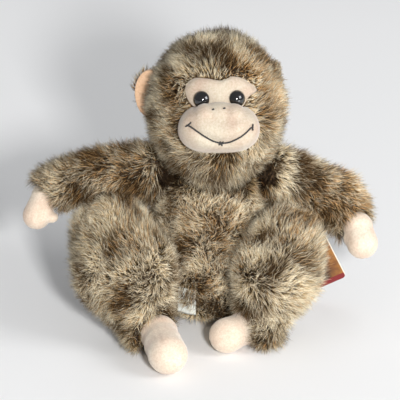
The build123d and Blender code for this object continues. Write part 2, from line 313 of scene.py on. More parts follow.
def print_paint():
    """Printed card: amber picture with a shaded side, a red foot and a pale rim."""
    paint = Paint("card_print", Roughness=0.28, Coat_Weight=0.4, Coat_Roughness=0.15)
    place = paint.add("TexCoord").outputs["Object"]
    centred = paint.add("VectorMath", {"operation": "SUBTRACT"})
    paint.feed(centred.inputs[0], place)
    paint.feed(centred.inputs[1], tuple(middle_of("hang_tag")))
    lean = (0, np.radians(TAG_LEAN), 0)
    turned = paint.add("VectorRotate", {"rotation_type": "EULER_XYZ"}, Rotation=lean)
    paint.feed(turned.inputs["Vector"], centred.outputs["Vector"])
    axes = paint.add("SeparateXYZ", Vector=turned.outputs["Vector"])
    across, up = (
        paint.span(axes.outputs[axis], -half * MM, half * MM)
        for axis, half in zip("XZ", TAG_HALF)
    )
    grain = paint.noise(240, 4)
    amber = paint.ramp(grain, [(0.35, rgb(100, 56, 18)), (0.65, rgb(152, 100, 36))])
    shade = paint.ramp(across, [(0.55, rgb(70, 46, 36)), (0.8, WHITE)])
    picture = paint.mix(1.0, amber, shade, "MULTIPLY")
    foot = paint.ramp(up, [(0.085, WHITE), (0.09, BLACK)])
    printed = paint.mix(foot, picture, rgb(116, 16, 20))
    rim = paint.ramp(across, [(0.975, BLACK), (0.98, WHITE)])
    paint.colour(paint.mix(rim, printed, rgb(226, 214, 196)))
    return paint.material


def add_materials():
    """Every material by its short name."""
    return {
        "fur": fur_paint(),
        "backing": backing_paint(),
        "face": velour_paint("face_velour", rgb(200, 190, 172), rgb(192, 171, 153)),
        "limb": velour_paint("limb_velour", rgb(233, 220, 202), rgb(224, 200, 180)),
        "ear": velour_paint("ear_velour", rgb(226, 188, 154), rgb(205, 160, 124)),
        "thread": thread_paint(),
        "eye": eye_paint(),
        "washer": plain_paint("washer_plastic", rgb(225, 225, 222), rgb(240, 240, 238), 0.4, 200),
        "lining": plain_paint("pouch_cotton", rgb(214, 208, 196), rgb(236, 231, 221), 0.9, 1500),
        "pellets": plain_paint("pellets", rgb(200, 205, 210), rgb(240, 240, 240), 0.35, 500, 0.5),
        "label": plain_paint(
            "label_satin", rgb(226, 230, 222), rgb(242, 244, 238), 0.45, 2500, 0.05
        ),
        "card": print_paint(),
        "clear": plain_paint(
            "clear_plastic", rgb(226, 228, 228), rgb(240, 241, 241), 0.2, 120, 0.02,
            Transmission_Weight=0.7,
        ),
    }


# ---------------------------------------------------------------- mesh helpers


def add_object(name, mesh, paint):
    made = bpy.data.objects.new(name, mesh)
    bpy.context.scene.collection.objects.link(made)
    mesh.materials.clear()
    mesh.materials.append(paint)
    return made


def mesh_of(name, vertices, triangles):
    """A smooth mesh from arrays of vertices and triangles."""
    mesh = bpy.data.meshes.new(name)
    mesh.vertices.add(len(vertices))
    mesh.vertices.foreach_set("co", np.asarray(vertices, np.float32).ravel())
    mesh.loops.add(triangles.size)
    mesh.loops.foreach_set("vertex_index", triangles.astype(np.int32).ravel())
    mesh.polygons.add(len(triangles))
    mesh.polygons.foreach_set("loop_start", np.arange(0, triangles.size, 3, dtype=np.int32))
    mesh.polygons.foreach_set("use_smooth", np.ones(len(triangles), bool))
    mesh.update(calc_edges=True)
    return mesh


def places(mesh):
    out = np.empty(len(mesh.vertices) * 3)
    mesh.vertices.foreach_get("co", out)
    return out.reshape(-1, 3)


def directions(mesh):
    out = np.empty(len(mesh.vertices) * 3)
    mesh.vertices.foreach_get("normal", out)
    return out.reshape(-1, 3)


def move_to(mesh, points):
    mesh.vertices.foreach_set("co", np.asarray(points, np.float32).ravel())
    mesh.update()


def apply_modifiers(obj):
    """Keeps what the object's modifiers show as its mesh."""
    shown = obj.evaluated_get(bpy.context.evaluated_depsgraph_get())
    mesh = bpy.data.meshes.new_from_object(shown)
    obj.modifiers.clear()
    obj.data = mesh


def keep_outer(mesh):
    """Deletes every loose part but the largest."""
    work = bmesh.new()
    work.from_mesh(mesh)
    unseen = set(work.verts)
    parts = []
    while unseen:
        stack = [unseen.pop()]
        part = list(stack)
        while stack:
            for edge in stack.pop().link_edges:
                for vert in edge.verts:
                    if vert in unseen:
                        unseen.discard(vert)
                        stack.append(vert)
                        part.append(vert)
        parts.append(part)
    parts.sort(key=len)
    for part in parts[:-1]:
        bmesh.ops.delete(work, geom=part, context="VERTS")
    work.to_mesh(mesh)
    work.free()


def cloth_around(name, nodes, voxel, smoothing, paint, also=(), swellings=()):
    """One closed even surface around several CAD nodes, which it replaces.

    Nodes in also only add their shape. A swelling is the centre and the three
    half-sizes of a rounded bulge, in millimetres.
    """
    merged = bmesh.new()
    for node in [*nodes, *also]:
        merged.from_mesh(NODES[node].data)
    for centre, sizes in swellings:
        stretch = Matrix.Diagonal((*(Vector(sizes) * MM), 1))
        moved = Matrix.Translation(Vector(centre) * MM) @ stretch
        bmesh.ops.create_icosphere(merged, subdivisions=3, radius=1, matrix=moved)
    mesh = bpy.data.meshes.new(name)
    merged.to_mesh(mesh)
    merged.free()
    cloth = add_object(name, mesh, paint)
    even = cloth.modifiers.new("even", "REMESH")
    even.mode = "VOXEL"
    even.voxel_size = voxel
    smooth = cloth.modifiers.new("smooth", "SMOOTH")
    smooth.iterations = smoothing
    apply_modifiers(cloth)
    keep_outer(cloth.data)
    cloth.data.polygons.foreach_set("use_smooth", np.ones(len(cloth.data.polygons), bool))
    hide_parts(*nodes)
    return cloth


def tree_of(*objects):
    """A search tree over the surfaces of objects."""
    vertices, polygons = [], []
    for obj in objects:
        start = len(vertices)
        vertices += [v.co.copy() for v in obj.data.vertices]
        polygons += [[start + i for i in p.vertices] for p in obj.data.polygons]
    return BVHTree.FromPolygons(vertices, polygons)


def distances(tree, points, reach):
    """Distance to a surface, negative inside it, and reach where it is further."""
    out = np.full(len(points), reach)
    for i, point in enumerate(points):
        spot, normal, _, distance = tree.find_nearest(Vector(point), reach)
        if spot is not None:
            inside = (Vector(point) - spot).dot(normal) < 0
            out[i] = -distance if inside else distance
    return out


class Clouds:
    """Smooth random field over space, about from -1 to 1, with blobs of a given size."""

    def __init__(self, size, seed, waves=24):
        source = np.random.default_rng(seed)
        turns = unit(source.normal(size=(waves, 3)))
        self.waves = turns * source.uniform(0.6, 1.4, (waves, 1)) * np.pi / size
        self.phases = source.uniform(0, 2 * np.pi, waves)

    def at(self, points):
        return np.cos(points @ self.waves.T + self.phases).sum(1) / np.sqrt(len(self.phases) / 2)


def middle_of(node):
    """The middle of a node's box, in metres."""
    low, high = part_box(node)
    return (np.array(low) + np.array(high)) / 2


def pivot(joint):
    """Where a joint turns, in metres."""
    return next(np.array(found["pos_m"]) for found in frame["joints"] if found["name"] == joint)


# ---------------------------------------------------------------- fur

STRANDS_PER_M2 = 2.6e6
STRANDS_PER_PIECE = 18000
STRAND_WIDTH = 0.34 * MM
STRAND_SINK = 0.4 * MM
MIDDLE_TAPER = 0.85
# How far apart locks stand, how strongly the loosest and the tightest one pull their strands'
# tips together, and the share of that pull at the middle of a strand
LOCK_SPACING = 1.2 * MM
LOCK_PULL = (0.25, 0.75)
MIDDLE_PULL = 0.4

# How a strand's lower and upper half stand: shares of upright, of the comb and of chance
LOWER_STANCE = (0.95, 0.5, 0.2)
UPPER_STANCE = (0.57, 0.8, 0.36)
LOWER_SHARE, UPPER_SHARE = 0.5, 0.55
LENGTH_SPREAD = (0.75, 1.12)
WIDTH_SPREAD = (0.7, 1.15)

# Random swirls beside the comb, their strength and size, and the size of paler wisps
SWIRL, SWIRL_SIZE = 0.5, 14 * MM
WISP_SIZE = 9 * MM

# Where two bodies meet: how far the crease reaches, how much shorter it is, and how much painted
# shade darkens it
CREASE_WIDTH = 7.5 * MM
CREASE_SHORTER = 0.45
CREASE_TIP_PAINTED_SHADE = 0.5
CREASE_DYE_PAINTED_SHADE = 3

# Strands shorter than this start higher on the colour ramp, by up to this share of it
FULL_RAMP_LENGTH = 9 * MM
SHORT_START = 0.5


def scatter(mesh, count, source):
    """Random points on a mesh, spread evenly, with their smooth normals."""
    mesh.calc_loop_triangles()
    corners = np.empty(len(mesh.loop_triangles) * 3, np.int32)
    mesh.loop_triangles.foreach_get("vertices", corners)
    corners = corners.reshape(-1, 3)
    points, normals = places(mesh), directions(mesh)
    a, b, c = (points[corners[:, i]] for i in range(3))
    area = np.linalg.norm(np.cross(b - a, c - a), axis=1)
    chosen = source.choice(len(area), count, p=area / area.sum())
    first = np.sqrt(source.random((count, 1)))
    second = source.random((count, 1))
    weights = (1 - first, first * (1 - second), first * second)
    spot = sum(w * points[corners[chosen, i]] for i, w in enumerate(weights))
    normal = sum(w * normals[corners[chosen, i]] for i, w in enumerate(weights))
    return spot, unit(normal)


def area_of(mesh):
    sizes = np.empty(len(mesh.polygons))
    mesh.polygons.foreach_get("area", sizes)
    return sizes.sum()


def find_locks(roots, source):
    """The strand that each strand's lock gathers round, and the lock's own number from 0 to 1."""
    strands_per_lock = (LOCK_SPACING**2) * STRANDS_PER_M2
    lock_count = max(1, int(len(roots) / strands_per_lock))
    leaders = source.choice(len(roots), lock_count, replace=False)
    tree = KDTree(len(leaders))
    for order, leader in enumerate(leaders):
        tree.insert(roots[leader], order)
    tree.balance()
    lock = np.array([tree.find(root)[1] for root in roots])
    return leaders[lock], source.random(len(leaders))[lock]


def strand_mesh(name, root, middle, tip, width, dye, base, top, source):
    """Closed three-sided strands, each bent at its middle, mapped by dye and height.

    base and top are the heights on the colour ramp where a strand starts and ends. Each
    strand's map is a little wider than a line, so that its triangles have some area.
    """
    count = len(root)
    run = unit(middle - root)
    across = unit(np.cross(run, source.normal(size=(count, 3))))
    other = np.cross(run, across)
    turns = np.arange(3) * 2 * np.pi / 3
    ring = across[:, None] * np.cos(turns)[:, None] + other[:, None] * np.sin(turns)[:, None]
    half = (width / 2)[:, None, None]
    vertices = np.empty((count, 7, 3))
    vertices[:, 0:3] = root[:, None] + ring * half
    vertices[:, 3:6] = middle[:, None] + ring * half * MIDDLE_TAPER
    vertices[:, 6] = tip
    pattern = [(2, 1, 0)]
    for i in range(3):
        j = (i + 1) % 3
        pattern += [(i, j, 3 + j), (i, 3 + j, 3 + i), (3 + i, 3 + j, 6)]
    pattern = np.array(pattern)
    triangles = (np.arange(count)[:, None, None] * 7 + pattern).reshape(-1, 3)
    mesh = mesh_of(name, vertices.reshape(-1, 3), triangles)
    height = np.array([0, 0, 0, 0.5, 0.5, 0.5, 1.0])
    map_width = 0.006
    spread = np.array([0, 0.5, 1, 0, 0.5, 1, 0.5]) * map_width
    maps = np.empty((count, len(pattern), 3, 2))
    maps[..., 0] = dye[:, None, None] * 0.99 + spread[pattern]
    base, top = base[:, None, None], top[:, None, None]
    maps[..., 1] = base + (top - base) * height[pattern]
    layer = mesh.uv_layers.new(name="OFBake")
    layer.data.foreach_set("uv", maps.astype(np.float32).ravel())
    return mesh


def crease_at(points, beside):
    """1 where a neighbour's surface is close, and 0 far from all of them."""
    crease = np.zeros(len(points))
    for tree in beside:
        gap = np.maximum(distances(tree, points, 2 * CREASE_WIDTH), 0)
        crease = np.maximum(crease, np.exp(-((gap / CREASE_WIDTH) ** 2)))
    return crease


def stand(stance, normal, lie, jitter):
    """Which way half a strand points."""
    upright, combed, chance = stance
    return unit(normal * upright + lie * combed + jitter * chance)


def grow_fur(body, cloth, comb, lengths, seed, beside=()):
    """Fur of one body, in pieces that ride with its cloth.

    comb gives the way each root's strand lies, and lengths how long it is, 0 for none.
    Close to the trees in beside, in a crease, the fur is short and darkened with painted shade.
    """
    source = np.random.default_rng(seed)
    count = int(area_of(cloth.data) * STRANDS_PER_M2)
    root, normal = scatter(cloth.data, count, source)
    length = lengths(root, normal)
    grown = length > 0
    root, normal, length = root[grown], normal[grown], length[grown]
    count = len(root)
    crease = crease_at(root, beside)
    # painted shade: in a crease the strands keep their dark roots and stop short of their pale tips
    base = SHORT_START * np.clip(1 - length / FULL_RAMP_LENGTH, 0, 1) * (1 - crease)
    top = 1 - CREASE_TIP_PAINTED_SHADE * crease
    length = length * (1 - CREASE_SHORTER * crease)
    length = length * source.uniform(*LENGTH_SPREAD, count)
    swirl = np.stack([Clouds(SWIRL_SIZE, seed + 2 + i).at(root) for i in range(3)], axis=1)
    lie = along_surface(comb(root, normal) + SWIRL * swirl, normal)
    jitter = source.normal(size=(count, 3))
    first = stand(LOWER_STANCE, normal, lie, jitter)
    second = stand(UPPER_STANCE, normal, lie, jitter)
    root = root - normal * STRAND_SINK
    middle = root + first * (length * LOWER_SHARE)[:, None]
    tip = middle + second * (length * UPPER_SHARE)[:, None]
    leader, lock = find_locks(root, source)
    loosest, tightest = LOCK_PULL
    pull = (loosest + (tightest - loosest) * lock)[:, None]
    tip = tip + (tip[leader] - tip) * pull
    middle = middle + (middle[leader] - middle) * pull * MIDDLE_PULL
    for points in (root, middle, tip):
        points[:, 2] = np.maximum(points[:, 2], STRAND_WIDTH)
    wisps = Clouds(WISP_SIZE, seed + 1).at(root)
    # painted shade: a crease lowers the dye towards the dark strands
    dye = fur_dye(root, wisps - CREASE_DYE_PAINTED_SHADE * crease, lock, source)
    width = STRAND_WIDTH * source.uniform(*WIDTH_SPREAD, count)
    order = np.argsort(np.arctan2(root[:, 0] - root[:, 0].mean(), root[:, 1]), kind="stable")
    for number, part in enumerate(np.array_split(order, -(-count // STRANDS_PER_PIECE))):
        name = f"{body}_fur_{number + 1}"
        strands = (values[part] for values in (root, middle, tip, width, dye, base, top))
        fur = add_object(name, strand_mesh(name, *strands, source), PAINTS["fur"])
        fur.parent = cloth


# Patches of fur that are darker (below 0) or paler, and more ginger, than the rest, the darker one
# between the legs being painted shadow:
# centre and radius in millimetres, change of frosting, and share of ginger
DYE_AND_SHADE_PATCHES = [
    ((8, -34, 172), 10, -0.25, 0.0),
    ((-52, -50, 50), 13, -0.35, 0.0),
    ((68, -14, 92), 20, -0.5, 0.0),
    ((-26, -30, 140), 14, 0.22, 0.0),
    ((-32, -12, 134), 16, 0.25, 0.0),
    ((-17, -32, 172), 12, 0.2, 0.0),
    ((5, -26, 85), 24, 0.25, 0.0),
    ((26, -22, 174), 16, 0.0, 0.3),
    ((44, -18, 150), 14, 0.15, 0.3),
    ((-60, -10, 100), 34, -0.5, 0.06),
    ((78, -16, 66), 18, -0.45, 0.06),
    ((-30, -20, 96), 10, -0.4, 0.0),
    ((-78, -44, 76), 18, 0.35, 0.0),
    ((92, -14, 76), 10, 0.0, 0.3),
    ((5, -30, 60), 20, 0.0, 0.12),
    ((-68, -30, 76), 20, 0.35, 0.0),
    ((94, -12, 78), 11, 0.35, 0.1),
    # painted shadow between the legs
    ((5, -42, 10), 14, -0.6, 0.0),
]


# Frosting of the pile: where it starts, and what wisps, locks and chance add to it
FROSTING, BY_WISP, BY_LOCK, BY_CHANCE = 0.2, 0.36, 0.55, 0.4
# Share of ginger strands, and how much it changes from place to place
GINGER, GINGER_CHANGE, GINGER_SIZE, GINGER_SEED = 0.04, 0.05, 22 * MM, 77


def fur_dye(points, wisps, lock, source):
    """Where each strand lies on the dye axis of the fur's colours, lowered by painted shade in
    creases and by a patch of painted shadow between the legs.
    """
    count = len(points)
    frosting = FROSTING + BY_WISP * wisps + BY_LOCK * lock + source.normal(0, BY_CHANCE, count)
    ginger = GINGER + GINGER_CHANGE * Clouds(GINGER_SIZE, GINGER_SEED).at(points)
    for centre, radius, change, redder in DYE_AND_SHADE_PATCHES:
        near = np.exp(-((np.linalg.norm(points - mm(*centre), axis=1) / (radius * MM)) ** 2))
        frosting += change * near
        ginger += redder * near
    frosting = np.clip(frosting, 0, 1) * FROSTED
    is_ginger = source.random(count) < ginger
    return np.where(is_ginger, source.uniform(*GINGER_DYES, count), frosting)


# ---------------------------------------------------------------- the way the fur lies

FACE_CENTRE = mm(6, -48, 133)
UP = np.array([0, 0, 1.0])
AHEAD = np.array([0, -np.cos(np.radians(VIEW_TILT)), np.sin(np.radians(VIEW_TILT))])


def rise(values, start, end):
    """0 before start, 1 after end, in a column; start and end are in millimetres."""
    return np.clip((values[:, None] / MM - start) / (end - start), 0, 1)


def head_comb(points, normals):
    """Away from the middle of the face, and down at the back of the head."""
    back = rise(points[:, 1], -4, 26)
    return unit(points - FACE_CENTRE) - 1.2 * back * UP


def meeting(comb, tree, reach, close_comb):
    """A comb that passes to another one close to a piece."""

    def mixed(points, normals):
        share = np.clip(distances(tree, points, reach) / reach, 0, 1)[:, None]
        return comb(points, normals) * share + close_comb(points, normals) * (1 - share)

    return mixed


def upright_comb(points, normals):
    return np.zeros_like(points)


def downward_comb(points, normals):
    return -UP + 0 * points


def torso_comb(points, normals):
    """Up the front towards the chin and outwards, most at its flanks, and down the back."""
    front = 1 - rise(points[:, 1], 0, 20)
    outwards = np.sign(points[:, :1]) * np.minimum(np.abs(points[:, :1]) / (40 * MM), 1)
    return front * (0.7 * UP + outwards * np.array([0.6, 0, 0])) - UP * (1 - front)


def limb_comb(start, end, droop=0):
    """From start to end, and down by the share that droop says."""
    run = unit(end - start)
    return lambda points, normals: run - droop * UP + np.zeros_like(points)


def leg_comb(side):
    """Away from the crotch: rising above the middle of the leg and falling below it."""
    outwards = np.array([1.0 if side == "left" else -1.0, 0, 0])
    middle, reach = 32 * MM, 28 * MM
    return lambda points, normals: outwards + UP * (points[:, 2:] - middle) / reach


def spread_comb(centre):
    """Outwards from a point as the face sees it, in full from 18 mm away."""

    def comb(points, normals):
        out = (points - centre) / (18 * MM)
        return out - np.outer(out @ AHEAD, AHEAD)

    return comb


# Where the pile is longer: centre, radius and extra length in millimetres
TUFTS = [
    ((14, -4, 184), 9, 4),
    ((-38, -4, 76), 14, 9),
    ((38, -6, 76), 10, 3),
    ((72, -32, 46), 20, 6),
    ((-88, -30, 50), 22, 3.5),
    ((6, -30, 100), 14, 6),
    ((28, -52, 20), 11, 6),
    ((-11, -38, 28), 9, 9),
    ((-4, -44, 32), 8, 6),
]


# Under the seat the pile is pressed short. It grows longer with the distance from velour by
# VELOUR_SLOPE. A strand is left out if the point PROBE ahead of its root is in a neighbour.
SEAT_HEIGHT, SEAT_PILE = 5 * MM, 2.5 * MM
VELOUR_SLOPE, VELOUR_REACH = 1.2, 9 * MM
PROBE, PROBE_REACH = 3.5 * MM, 6 * MM


def pile(full, shy_of=(), apart_from=(), bald=None):
    """Length of the pile by place: short at the floor and by velour, none inside neighbours.

    shy_of lists (tree, gap, shortest) for velour, and bald tells where nothing grows.
    """

    def lengths(points, normals):
        length = np.full(len(points), full)
        for centre, radius, extra in TUFTS:
            away = np.linalg.norm(points - mm(*centre), axis=1) / (radius * MM)
            length += extra * MM * np.exp(-(away**2))
        length[(points[:, 2] < SEAT_HEIGHT) & (normals[:, 2] < -0.6)] = SEAT_PILE
        for tree, gap, shortest in shy_of:
            near = distances(tree, points, VELOUR_REACH)
            length = np.where(near < gap, 0, np.minimum(length, shortest + VELOUR_SLOPE * near))
        for tree in apart_from:
            ahead = distances(tree, points + normals * PROBE, PROBE_REACH)
            length = np.where(ahead < 0, 0, length)
        if bald is not None:
            length = np.where(bald(points), 0, length)
        return length

    return lengths


# ---------------------------------------------------------------- furred bodies


def make_cloths():
    """The fur backing of each furred body, drawn in under its pile."""
    made = {}
    for body in ["torso", "neck", "head", *(f"{side}_{limb}" for side in SIDES for limb in LIMBS)]:
        nodes = [f"{body}_fur_shell", f"{body}_stuffing"]
        also = ["brow_panel"] if body == "head" else []
        cloth = cloth_around(f"{body}_cloth", nodes, CLOTH_VOXEL, 6, PAINTS["backing"], also)
        move_to(cloth.data, places(cloth.data) - directions(cloth.data) * CLOTH_INSET)
        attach(cloth, body)
        made[body] = cloth
    return made


# Length of the pile before tufts, in millimetres, and seeds, which the right side adds 1 to
PILE = {"head": 10.5, "torso": 10.5, "neck": 7, "arm": 11.5, "leg": 11}
EAR_PILE = {"right": 6, "left": 4}
SEEDS = {"head": 11, "torso": 23, "neck": 29, "arm": 31, "leg": 41, "ear": 51}

# How far from a velour piece or the label the comb starts to turn
FACE_TURN, LABEL_TURN, MITT_TURN = 6 * MM, 7 * MM, 9 * MM


def cover_in_fur(cloths, velour):
    """Fur on every furred body and on the ears."""
    trees = {body: tree_of(cloth) for body, cloth in cloths.items()}
    cover_head(cloths["head"], velour, [trees["neck"]])
    limbs = [trees[body] for body in cloths if body not in ("torso", "head")]
    cover_torso(cloths["torso"], velour, limbs)
    lengths = pile(PILE["neck"] * MM, [], [trees["torso"], trees["head"]])
    grow_fur("neck", cloths["neck"], downward_comb, lengths, SEEDS["neck"])
    for number, side in enumerate(SIDES):
        cover_arm(side, cloths, velour, trees, SEEDS["arm"] + number)
        cover_leg(side, cloths, velour, trees, SEEDS["leg"] + number)
        cover_ear(side, velour[f"{side}_ear"], trees["head"], SEEDS["ear"] + number)


def cover_head(cloth, velour, neighbours):
    muzzle, brow = tree_of(velour["muzzle"]), tree_of(velour["brow"])
    eyes = tree_of(*(NODES[f"{side}_eye"] for side in SIDES))
    shy = [(muzzle, 0.2 * MM, 3.5 * MM), (brow, 0.1 * MM, 3.5 * MM), (eyes, 1 * MM, 3 * MM)]
    face = tree_of(velour["brow"], velour["muzzle"])
    comb = meeting(head_comb, face, FACE_TURN, upright_comb)
    grow_fur("head", cloth, comb, pile(PILE["head"] * MM, shy, neighbours), SEEDS["head"])


def cover_torso(cloth, velour, limbs):
    muzzle, label = tree_of(velour["muzzle"]), tree_of(NODES["care_label"])
    shy = [(muzzle, 0.5 * MM, 5 * MM), (label, 0.5 * MM, 11 * MM)]
    comb = meeting(torso_comb, label, LABEL_TURN, downward_comb)
    lengths = pile(PILE["torso"] * MM, shy, limbs)
    grow_fur("torso", cloth, comb, lengths, SEEDS["torso"], limbs)


def cover_arm(side, cloths, velour, trees, seed):
    arm = f"{side}_arm"
    hand = tree_of(velour[f"{side}_hand"])
    wrist = pivot(f"{side}_wrist")
    along_arm = limb_comb(pivot(f"{side}_shoulder"), wrist, droop=0.15)
    over_hand = limb_comb(wrist, middle_of(f"{side}_hand_shell"))
    comb = meeting(along_arm, hand, MITT_TURN, over_hand)
    lengths = pile(PILE["arm"] * MM, [(hand, 0.5 * MM, 11 * MM)], [trees["torso"]])
    beside = [trees[body] for body in ("torso", "head", f"{side}_leg")]
    grow_fur(arm, cloths[arm], comb, lengths, seed, beside)


def cover_leg(side, cloths, velour, trees, seed):
    leg = f"{side}_leg"
    foot = tree_of(velour[f"{side}_foot"])
    over_foot = limb_comb(pivot(f"{side}_ankle"), middle_of(f"{side}_foot_shell"))
    comb = meeting(leg_comb(side), foot, MITT_TURN, over_foot)
    lengths = pile(PILE["leg"] * MM, [(foot, 0.5 * MM, 8 * MM)], [trees["torso"]])
    grow_fur(leg, cloths[leg], comb, lengths, seed, [trees["torso"], trees[f"{side}_arm"]])


def cover_ear(side, ear, head, seed):
    """The right ear is furred only behind, and the left one, folded into the head fur, all over."""
    behind = ear_back_only(ear, EAR_LOOKS[side]) if side == "right" else None
    comb = spread_comb(np.array(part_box(f"{side}_ear_back")[0]))
    grow_fur(f"{side}_ear", ear, comb, pile(EAR_PILE[side] * MM, [], [head], behind), seed)


def ear_back_only(ear, look):
    """Bald on the pale front of an ear and along its rim."""
    middle = places(ear.data).mean(0)
    rim = -1.2 * MM
    return lambda points: (points - middle) @ look > rim


# ---------------------------------------------------------------- velour pieces

# Which way the hollow of each ear faces
EAR_LOOKS = {"right": unit(np.array([-0.2, -1, 0.1])), "left": unit(np.array([0.95, -0.3, 0.1]))}

# Brow panel as the face sees it, from its middle: two lobes over the eyes, a dip between
BROW_MIDDLE = mm(7.2, -40, 161.5)
BROW_OUTLINE = [
    (-21.5, 1.5), (-21, 8), (-16, 11.6), (-8, 11.2), (1, 10), (8.2, 12.6), (16, 10.8), (23.4, 4.6),
    (18.5, 0), (14, -7), (6, -11), (-6, -11), (-17, -6),
]
BROW_THICK = 2.2 * MM
BROW_BACK = 0.8 * MM
BROW_RINGS = 14
# Height of the middle of the panel, the fall to its sewn edge, and the dimple round an eye
BROW_CROWN, BROW_EDGE_FALL = 0.5 * MM, 2.0 * MM
EYE_DIMPLE, EYE_DIMPLE_RADIUS = 1.1 * MM, 7 * MM


def smooth_loop(corners, steps):
    """Closed smooth curve through 2-D corners (Catmull-Rom)."""
    corners = np.array(corners, float)
    before, after, next_but_one = (np.roll(corners, shift, axis=0) for shift in (1, -1, -2))
    out = []
    for t in np.arange(steps) / steps:
        out.append(
            0.5 * (
                2 * corners
                + (after - before) * t
                + (2 * before - 5 * corners + 4 * after - next_but_one) * t**2
                + (3 * corners - before - 3 * after + next_but_one) * t**3
            )
        )
    return np.stack(out, axis=1).reshape(-1, 2)


def seen_at(middle, x, up):
    """The point x to the side of middle and up from it, as the face sees them."""
    tilt = np.radians(VIEW_TILT)
    return middle + np.array([x, up * np.sin(tilt), up * np.cos(tilt)]) * MM


def lay_on(tree, point, lift):
    """Where a point falls on a surface, seen from ahead of the face, raised by lift."""
    outside = 60 * MM
    start = Vector(point + AHEAD * outside)
    spot, normal, _, _ = tree.ray_cast(start, Vector(-AHEAD))
    if spot is None:
        return np.array(point), AHEAD
    return np.array(spot + normal * lift), np.array(normal)


def brow_piece():
    """The brow panel: a crowned patch of velour, lower at its sewn edge and round the eyes."""
    ground = tree_of(NODES["head_fur_shell"], NODES["brow_panel"])
    rim = smooth_loop(BROW_OUTLINE, 6)
    shares = np.sin(np.linspace(0, np.pi / 2, BROW_RINGS + 1)[1:])
    eyes = [middle_of(f"{side}_eye") for side in SIDES]
    front, back = [], []
    for share in [0.0, *shares]:
        for x, up in rim * share if share else rim[:1] * 0:
            spot, normal = lay_on(ground, seen_at(BROW_MIDDLE, x, up), 0)
            nearest = min(np.linalg.norm((spot - eye)[[0, 2]]) for eye in eyes)
            dimple = EYE_DIMPLE * np.exp(-((nearest / EYE_DIMPLE_RADIUS) ** 4))
            crown = BROW_CROWN - BROW_EDGE_FALL * share**8
            front.append(spot + normal * (crown - dimple))
            back.append(spot - normal * (BROW_THICK + BROW_BACK))
    count = len(rim)
    faces = [(0, 1 + (i + 1) % count, 1 + i) for i in range(count)]
    for ring in range(BROW_RINGS - 1):
        for i in range(count):
            j = (i + 1) % count
            a, b = 1 + ring * count, 1 + (ring + 1) * count
            faces += [(a + i, a + j, b + j), (a + i, b + j, b + i)]
    shift = len(front)
    faces += [tuple(shift + v for v in reversed(face)) for face in faces]
    edge = 1 + (BROW_RINGS - 1) * count
    for i in range(count):
        a, b = edge + i, edge + (i + 1) % count
        faces += [(a, b, shift + b), (a, shift + b, shift + a)]
    mesh = mesh_of("brow", np.array(front + back), np.array(faces))
    piece = add_object("brow", mesh, PAINTS["face"])
    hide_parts("brow_panel")
    return piece


def centre_line(node, count):
    """Points along the middle of a node that runs across the face from right to left."""
    points = places(NODES[node].data)
    low, high = points[:, 0].min(), points[:, 0].max()
    edges = np.linspace(low, high, count + 1)
    order = np.clip(np.digitize(points[:, 0], edges) - 1, 0, count - 1)
    return np.array([points[order == i].mean(0) for i in range(count) if (order == i).any()])


def near_path(points, path):
    """Distance from each point to the nearest point of a path."""
    return np.linalg.norm(points[:, None] - path[None], axis=2).min(1)


MOUTH_STEPS = 40
MOUTH_CREASE, MOUTH_CREASE_WIDTH = 1.5 * MM, 2.2 * MM
LIP_SWELL, LIP_DISTANCE, LIP_WIDTH = 0.8 * MM, 6 * MM, 4 * MM
CHIN_TUCK = 2.4 * MM
# Where the muzzle swells, centre and half-sizes in millimetres: between the eyes, and as a
# lid below each one, moved inwards by this share of the way to the middle of the face
NOSE_BRIDGE = ((7.2, -45, 152.8), (11, 8, 6.5))
LID_PLACE, LID_SIZES, LID_INWARDS = (-46, 153.6), (6.5, 7.5, 5), 0.2


def muzzle_piece():
    """The muzzle: a full pad, pulled in along the mouth and swelling over the lower eyes."""
    swellings = [NOSE_BRIDGE]
    for side in SIDES:
        x = middle_of(f"{side}_eye")[0] / MM
        x += LID_INWARDS * (BROW_MIDDLE[0] / MM - x)
        swellings.append(((x, *LID_PLACE), LID_SIZES))
    nodes = ["muzzle_shell", "muzzle_stuffing"]
    piece = cloth_around(
        "muzzle", nodes, VELOUR_VOXEL, 8, PAINTS["face"], swellings=swellings
    )
    points, normals = places(piece.data), directions(piece.data)
    near = near_path(points, centre_line("mouth_thread", MOUTH_STEPS))
    crease = np.exp(-((near / MOUTH_CREASE_WIDTH) ** 2))
    swell = np.exp(-(((near - LIP_DISTANCE) / LIP_WIDTH) ** 2))
    facing = np.clip(normals @ AHEAD, 0, 1)
    shift = (LIP_SWELL * swell - MOUTH_CREASE * crease) * facing
    shift -= CHIN_TUCK * np.clip(normals @ np.cross([1, 0, 0], AHEAD), 0, 1) ** 2
    move_to(piece.data, points + normals * shift[:, None])
    return piece


THREAD_PLY = 0.34 * MM
THREAD_PITCH = 2.4 * MM
THREAD_STEP = 0.22 * MM
THREAD_END = 0.45
SMILE_LIFT, STITCH_LIFT = 0.25 * MM, 0.5 * MM
# Nostril stitches, as the face sees them from the middle of the brow panel
NOSTRILS = [(-4.1, -8.4), (2.5, -7.8)]


def tube_along(path, radius, sides=6):
    """Vertices and triangles of a closed tube along a path, narrow at both ends."""
    runs = unit(np.gradient(path, axis=0))
    across = unit(np.cross(runs, AHEAD))
    other = np.cross(runs, across)
    radii = np.full(len(path), radius)
    radii[[0, -1]] *= THREAD_END
    turns = np.arange(sides) * 2 * np.pi / sides
    ring = across[:, None] * np.cos(turns)[:, None] + other[:, None] * np.sin(turns)[:, None]
    vertices = (path[:, None] + ring * radii[:, None, None]).reshape(-1, 3)
    faces = []
    for k in range(len(path) - 1):
        for i in range(sides):
            a, b = k * sides + i, k * sides + (i + 1) % sides
            faces += [(a, b, b + sides), (a, b + sides, a + sides)]
    last = (len(path) - 1) * sides
    faces += [(0, i + 1, i) for i in range(1, sides - 1)]
    faces += [(last, last + i, last + i + 1) for i in range(1, sides - 1)]
    return vertices, np.array(faces)


